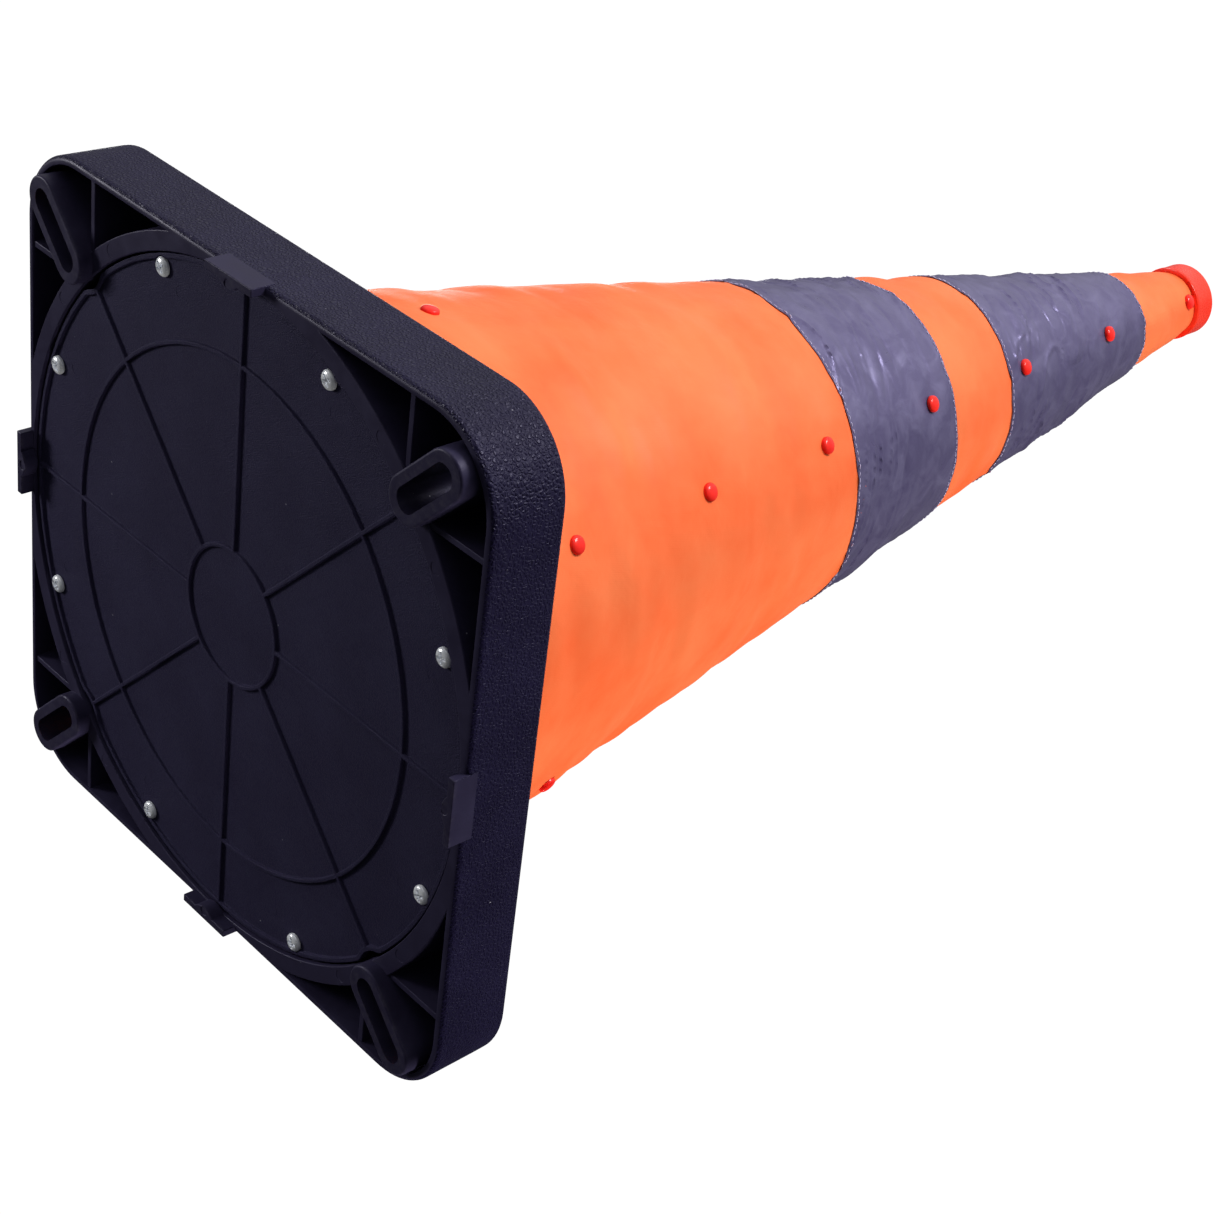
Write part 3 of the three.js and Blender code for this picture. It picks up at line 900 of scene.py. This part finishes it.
def span_window(z):
    """0 where the fabric is held tight at a rivet level, 1 between levels."""
    edges = [BOTTOM - 25] + LEVELS + [SLEEVE_TOP + 10]
    w = np.zeros_like(z)
    for a, b in zip(edges[:-1], edges[1:]):
        t = (z - a) / (b - a)
        w = np.where((t >= 0) & (t <= 1), np.sin(pi * np.clip(t, 0, 1)) ** 2, w)
    return w


def band_mask(z, reach=4):
    """1 under a reflective band, 0 away from them."""
    w = np.zeros_like(z)
    for low, high in BAND_EDGES:
        w = np.maximum(w, smooth((z - low + reach) / reach) * smooth((high + reach - z) / reach))
    return w


# height in millimetres, cells round the cone, cell height in millimetres, lean, width in cells, seed
FABRIC_LINES = ((0.3, 4, 47, 0.1, 0.1, 47), (-0.25, 6, 38, 0.4, 0.1, 67))
TAPE_LINES = ((1.15, 6, 34, 0.9, 0.075, 5), (-0.65, 8, 30, 1.6, 0.09, 15),
              (0.85, 11, 24, 2.3, 0.08, 25), (-0.4, 7, 28, -1.2, 0.09, 35))


def fold_lines(theta, z, around, spacing, lean, width, seed):
    """0 to 1: crease lines that mostly follow the hoops, fading in and out along their length."""
    turn = theta / TURN
    v = z / spacing
    sway = 0.32 * lattice_noise(turn * (around + 3), v * 0.6, around + 3, 128, seed + 1)
    n = lattice_noise(turn * around + v * lean, v + sway, around, 128, seed)
    shown = smooth(0.35 + 1.3 * lattice_noise(turn * (around + 1), v * 0.8, around + 1, 128, seed + 2))
    return np.exp(-((n / width) ** 2)) * shown


def folds(theta, z):
    """Soft sags and a few sharper hoop creases of the orange fabric, in millimetres in or out."""
    turn = theta / TURN
    v = (z - BOTTOM) / 31
    wide = lattice_noise(turn * 7 + v * 0.6, v, 7, 64, 3)
    slant = lattice_noise(turn * 9 - v * 0.9, v * 1.5, 9, 64, 11)
    hoop = lattice_noise(turn * 5, v * 1.5 + np.sin(theta * 2 + 1) * 0.25, 5, 128, 23)
    small = lattice_noise(turn * 18 + v * 1.3, v * 2.6, 18, 128, 31)
    held = 0.3 + 0.7 * span_window(z)
    narrow = 0.5 + 0.5 * cone_radius(z) / R_BOTTOM
    low = smooth((230 - z) / 120)
    soft = 1.7 * wide + 1.3 * slant + (0.8 + 1.5 * low) * hoop + 0.5 * small
    sharp = sum(depth * fold_lines(theta, z, *line) for depth, *line in FABRIC_LINES)
    scallop = 0.7 * lattice_noise(turn * 26, v * 0.45, 26, 64, 83) * low
    return held * narrow * (soft + sharp + scallop - 0.4)


def creases(theta, z):
    """Sharper slanting creases of the stiff reflective film."""
    total = sum(depth * fold_lines(theta, z, *line) for depth, *line in TAPE_LINES)
    patch = 0.25 + 1.15 * smooth(0.5 + 0.9 * lattice_noise(theta / TURN * 4 + 0.3, z / 90, 4, 32, 45))
    return total * patch * (0.4 + 0.6 * cone_radius(z) / cone_radius(BAND_EDGES[0][0]))


def puckers(theta, z):
    """The fabric is drawn in at each rivet, with short creases running out from it."""
    total = np.zeros_like(theta)
    for k, (seat, _) in enumerate(RIVETS.values()):
        a = atan2(seat[1], seat[0])
        off = (theta - a + pi) % TURN - pi
        x, y = off * cone_radius(z), (z - seat[2]) / cos(TILT)
        d = np.hypot(x, y)
        near = d < 45
        dent = -0.4 * np.exp(-((d / 9) ** 2))
        rays = np.cos(4 * np.arctan2(y, x) + k) * np.exp(-d / 16) * (1 - np.exp(-((d / 9) ** 2)))
        total += np.where(near, dent + 0.35 * rays, 0)
    return total


def seam_step(theta, z):
    """The lapped back seam stands a little proud."""
    off = np.abs((theta - SEAM_AT + pi) % TURN - pi) * cone_radius(z)
    return 0.5 * (1 - smooth((off - SEAM_HALF) / 1.2))


def resting(move, z):
    """Keeps the lowest span outside the fixed section under it, softly where a fold comes close."""
    room = np.where(z < LEVELS[0], 1.2 + 0.7 * (LEVELS[0] - z) / (LEVELS[0] - BOTTOM), 2.4)
    soft = 0.15
    return soft * np.logaddexp(move / soft, -room / soft)


def skin_radius(theta, z, lifted):
    """The fabric's outer face, as a distance from the axis."""
    move = folds(theta, z) + band_mask(z) * creases(theta, z) + puckers(theta, z) + seam_step(theta, z)
    move = resting(move, z)
    foot_in = -1.7 * smooth((BOTTOM + 3.4 - z) / 4)
    top_in = -0.5 * smooth((z - SLEEVE_TOP + 8) / 6)
    swell = 0.9 * np.exp(-(((z - 74) / 17) ** 2))
    quiet = smooth((z - BOTTOM + 1.5) / 7) * smooth((SLEEVE_TOP + 3 - z) / 9)
    return cone_radius(z) + quiet * (move + swell) + foot_in + top_in + lifted


def flat_place(theta, z):
    """Where a point of the cone lies on the flat cut, a sector of an annulus, in millimetres."""
    far = (APEX - z) / cos(TILT)
    turn = theta * sin(TILT)
    return np.stack([far * np.cos(turn), far * np.sin(turn)], -1)


def fabric_shell(low, high, columns, step, lifted, thickness):
    """A thin closed shell of the cone between two heights, each a number or a height for every column.
    The outer face has a row every step millimetres and the hidden inner one a quarter as many."""
    theta = np.arange(columns) * TURN / columns + SEAM_AT
    low = np.broadcast_to(low, columns)
    high = np.broadcast_to(high, columns)
    outside = max(5, int(round((high.mean() - low.mean()) / step)) + 1)
    inside = max(3, outside // 4)
    t = np.concatenate([np.linspace(0, 1, outside), np.linspace(1, 0, inside)])[:, None]
    z = low[None, :] * (1 - t) + high[None, :] * t
    th = np.broadcast_to(theta, z.shape)
    r = skin_radius(th, z, lifted)
    r[outside:] -= thickness
    points = np.stack([r * np.cos(th), r * np.sin(th), z], -1).reshape(-1, 3)
    rows = outside + inside
    wide = np.concatenate([th, th[:, :1] + TURN], 1)
    flat = flat_place(wide, np.concatenate([z, z[:, :1]], 1))
    row = np.arange(rows)[:, None]
    column = np.arange(columns)[None, :]
    up = (row + 1) % rows
    corners = ((row, column), (row, column + 1), (up, column + 1), (up, column))
    uvs = np.stack([flat[a, b] for a, b in corners], 2).reshape(-1, 4, 2)
    return points, grid_faces(rows, columns, True), uvs


# stations along a stitch: place, thickness and height, as parts of its length and radius
STITCH_SHAPE = ((-0.5, 0.35, -0.25), (-0.38, 0.9, 0.25), (0.0, 1.0, 0.45), (0.38, 0.9, 0.25),
                (0.5, 0.35, -0.25))


def stitch_row(theta, z, lifted):
    """Stitches, each a small capsule lying along the line of the given points."""
    r = skin_radius(theta, z, lifted)
    at = np.stack([r * np.cos(theta), r * np.sin(theta), z], -1)
    along = np.roll(at, -1, 0) - at
    along[-1] = along[-2]
    along /= np.linalg.norm(along, axis=1)[:, None]
    out = np.stack([np.cos(theta) * cos(TILT), np.sin(theta) * cos(TILT),
                    np.full_like(theta, sin(TILT))], -1)
    side = np.cross(out, along)
    points, faces = [], []
    sides, last = 6, len(STITCH_SHAPE) - 1
    for p, a, n, s in zip(at, along, out, side):
        start = len(points)
        for t, fat, rise in STITCH_SHAPE:
            for k in range(sides):
                w = TURN * k / sides
                ring = n * (cos(w) * fat + rise) * STITCH_R + s * sin(w) * fat * STITCH_R
                points.append(p + a * t * STITCH_LENGTH + ring)
        for i in range(last):
            for k in range(sides):
                m = (k + 1) % sides
                b = start + i * sides
                faces.append((b + k, b + m, b + sides + m, b + sides + k))
        faces.append(tuple(start + k for k in range(sides))[::-1])
        faces.append(tuple(start + last * sides + k for k in range(sides)))
    return np.array(points), faces


def sector_size(low, high):
    """Arc length, slant height and flat area in metres of a strip of the cone."""
    inner, outer = [(APEX - z) / cos(TILT) * MM for z in (high, low)]
    return outer * SECTOR, outer - inner, SECTOR * (outer ** 2 - inner ** 2) / 2


def hang(obj, low, high):
    """Bakes a piece's placement into its mesh and works out the size of its flat strip, which is not
    used; the piece is neither bent nor tied to a body.
    """
    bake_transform(obj)
    width, length, area = sector_size(low, high)


def seam_stitches(mesh, low, high):
    """Two rows up the back seam, where no band covers it."""
    z = np.arange(low + 4, high - 1.5, SEAM_PITCH)
    z = z[band_mask(z, 1) < 0.01]
    for side in (-1, 1):
        if len(z) > 1:
            theta = SEAM_AT + side * 2.6 / cone_radius(z)
            mesh.add(*stitch_row(theta, z, 0.0), 1)


def make_sleeve():
    """The orange sleeve, cut at the rivet levels into separate spans."""
    edges = [BOTTOM - 1.3] + LEVELS[1:-1] + [SLEEVE_TOP]
    for i in range(len(edges) - 1):
        low, high = edges[i], edges[i + 1]
        mesh = Mesh()
        columns = 320 if i < 4 else 240
        points, faces, uvs = fabric_shell(low, high, columns, 1.2, 0.0, FABRIC_T)
        under = band_mask(points[:, 2], 1.5) * BAND_OFF
        points[:, :2] *= (1 - under / np.hypot(points[:, 0], points[:, 1]))[:, None]
        mesh.add(points, faces, 0, uvs)
        seam_stitches(mesh, low, high)
        obj = mesh.build(f"sleeve_span_{i + 1}", [ORANGE, ORANGE_THREAD], SOFT)
        hang(obj, low, high)
        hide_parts("sleeve")


def band_edge(z, k):
    """A sewn edge that wanders a little round the cone: a height for every column of a band."""
    turn = np.arange(BAND_COLUMNS) / BAND_COLUMNS
    row = np.full(BAND_COLUMNS, k + 0.5)
    for depth, waves, seed in ((1.3, 11, 71), (0.9, 31, 73), (0.45, 67, 79)):
        z = z + depth * lattice_noise(turn * waves, row, waves, 16, seed)
    return z


def hem(z, k, inward):
    """The stitches beside a sewn edge, a little way into the band."""
    count = int(TURN * cone_radius(z) / HEM_PITCH)
    theta = np.arange(count) * TURN / count + SEAM_AT
    edge = band_edge(z, k)
    columns = np.arange(BAND_COLUMNS + 1) * TURN / BAND_COLUMNS + SEAM_AT
    return stitch_row(theta, np.interp(theta, columns, np.append(edge, edge[0])) + inward, BAND_OFF)


def make_bands():
    """Each band is cut where it crosses a rivet level, as the sleeve is."""
    for b, (low, high) in enumerate(BAND_EDGES):
        cuts = [low] + [z for z in LEVELS if low < z < high] + [high]
        last = len(cuts) - 2
        for j in range(last + 1):
            z0, z1 = cuts[j], cuts[j + 1]
            edge0 = band_edge(z0, 4 * b) if j == 0 else z0
            edge1 = band_edge(z1, 4 * b + 2) if j == last else z1
            mesh = Mesh()
            points, faces, uvs = fabric_shell(edge0, edge1, BAND_COLUMNS, 1.1, BAND_OFF, BAND_T)
            mesh.add(points, faces, 0, uvs)
            if j == 0:
                mesh.add(*hem(z0, 4 * b, HEM_IN), 1)
            if j == last:
                mesh.add(*hem(z1, 4 * b + 2, -HEM_IN), 1)
            obj = mesh.build(f"reflective_band_{b + 1}{'abcd'[j]}", [TAPE_PAINTED_HIGHLIGHTS, GREY_THREAD], SOFT)
            hang(obj, z0, z1)
            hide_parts(f"reflective_band_{b + 1}")


# ======== rivets and collar
def make_rivets():
    """Domed plastic rivets square to the cone, their skirts pressed into the fabric."""
    a = np.linspace(0.06, pi / 2, 9)
    dome = [((RIVET_R - 0.1) * sin(t) ** 0.85, 0.35 + (RIVET_H - 0.35) * cos(t)) for t in a]
    profile = [(0, RIVET_H)] + dome + [(RIVET_R, 0.1), (RIVET_R, -0.7), (RIVET_SHANK, -0.7),
                                       (RIVET_SHANK, -2.6), (0, -2.6)]
    points, faces = rings_body(*lathe(profile, 32))
    faces = facing_out(points, faces)
    for node, (seat, out) in RIVETS.items():
        level = int(node.split("_")[1])
        turn = Vector((0, 0, 1)).rotation_difference(Vector(out)).to_matrix()
        moved = points @ np.array(turn).T + seat
        obj = Mesh().add(moved, faces).build(f"domed_{node}", [RIVET_RED], SOFT)
        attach(obj, BODIES[level - 1])
        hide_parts(node)


def make_collar():
    """The red end collar: lip at its foot, soft upper edge and closed flat end."""
    p = node_points("collar")
    low, top = p[:, 2].min(), p[:, 2].max()
    r = np.hypot(p[:, 0], p[:, 1]).max() - 0.4
    inner = r - 2.8
    round_off = 2.0
    profile = [(0, top), (r - 2.2, top)]
    for t in np.linspace(0, pi / 2, 8):
        profile.append((r - round_off + round_off * sin(t), top - round_off + round_off * cos(t)))
    profile += [(r, low + 2.4), (r + 0.12, low + 2.1), (r + 0.4, low + 1.8), (r + 0.4, low + 0.5),
                (r + 0.25, low + 0.15), (r - 0.1, low), (inner + 0.4, low), (inner, low + 0.4),
                (inner, top - 4.6), (0, top - 4.6)]
    points, faces = rings_body(*lathe(profile, 96))
    obj = Mesh().add(points, facing_out(points, faces)).build("end_collar", [COLLAR_RED], TURNED)
    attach(obj, BODIES[-1])
    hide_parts("collar")


def dress_sections():
    """The telescoping sections inside keep their CAD shape."""
    for name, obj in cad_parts.items():
        if name.startswith("section_"):
            obj.data.materials.clear()
            obj.data.materials.append(SECTION_BLACK)


# ======== studio
def camera():
    """The photograph's camera, with no shift and no depth of field."""
    data = bpy.data.cameras.new("camera")
    data.lens = LENS_MM
    data.sensor_width = 36
    data.clip_start, data.clip_end = 0.01, 50
    obj = add_object("camera", data)
    obj.location = CAMERA_AT
    obj.rotation_euler = Euler([radians(a) for a in CAMERA_TURN])
    bpy.context.scene.camera = obj


def soft_light(name, at, aim, size, power, colour=(1, 1, 1), mirrored=True):
    """A round area light. One that isn't mirrored lights the object but leaves no highlight on it."""
    data = bpy.data.lights.new(name, "AREA")
    data.shape = "DISK"
    data.size = size
    data.energy = power
    data.color = colour
    obj = add_object(name, data)
    obj.location = at
    obj.rotation_euler = (Vector(aim) - Vector(at)).to_track_quat("-Z", "Y").to_euler()
    obj.visible_camera = False
    obj.visible_glossy = mirrored


def floor():
    """A pale floor just under the feet, seen from above only, that shades nothing."""
    outline = circle_outline(6000, 96)
    m, node, *_ = shader("pale_floor", (0.8, 0.8, 0.81), 0.7, Emission_Color=(1, 1, 1, 1),
                        Emission_Strength=0.55)
    tree = m.node_tree
    under = node("NewGeometry").outputs["Backfacing"]
    mix = node("MixShader", i0=under, i1=tree.nodes["Principled BSDF"], i2=node("BsdfTransparent"))
    tree.links.new(mix.outputs[0], tree.nodes["Material Output"].inputs[0])
    obj = Mesh().add(lift(outline, -0.2), [list(range(96))]).build("floor", [m])
    for ray in ("diffuse", "glossy", "transmission", "shadow"):
        setattr(obj, f"visible_{ray}", False)


def surroundings():
    """White behind the object, and a dome that is brighter above and to one side to light it."""
    world = bpy.data.worlds.new("studio")
    bpy.context.scene.world = world
    world.use_nodes = True
    tree = world.node_tree
    node = node_maker(tree)
    way = node("TexCoord").outputs["Generated"]
    facing = node("VectorMath", {"operation": "DOT_PRODUCT"}, i0=way, i1=DOME_AXIS)
    dome = node("FloatCurve", Value=ranged(node, facing.outputs["Value"], -1, 1))
    for x, y in DOME_CURVE:
        point = dome.mapping.curves[0].points.new(x, y)
        point.handle_type = "AUTO_CLAMPED"
    dome.mapping.update()
    around = node("Background", Color=(0.97, 0.98, 1, 1), Strength=dome)
    seen = node("Background", Color=(1, 1, 1, 1), Strength=1.05)
    pick = node("MixShader", i0=node("LightPath").outputs["Is Camera Ray"], i1=around, i2=seen)
    tree.links.new(pick.outputs[0], tree.nodes["World Output"].inputs[0])


def lights():
    """Large soft lights: from above, from low at the far side, from behind and from below."""
    soft_light("key", (1.0, -1.5, 1.15), (0, 0, 0.25), 0.7, 33)
    soft_light("low_side", (0.7, 2.0, 0.1), (0, 0, 0.25), 0.5, 58, (1.0, 0.97, 0.9), mirrored=False)
    soft_light("back", (-1.6, 0.9, 1.3), (0, 0, 0.35), 1.4, 32)
    soft_light("under", (-1.1, -0.25, -0.75), (0, 0, 0), 0.4, 9.8)
    bpy.context.scene.view_settings.view_transform = "Standard"


camera()
floor()
surroundings()
lights()
make_base()
make_cover()
make_screws()
make_sleeve()
make_bands()
make_rivets()
make_collar()
dress_sections()
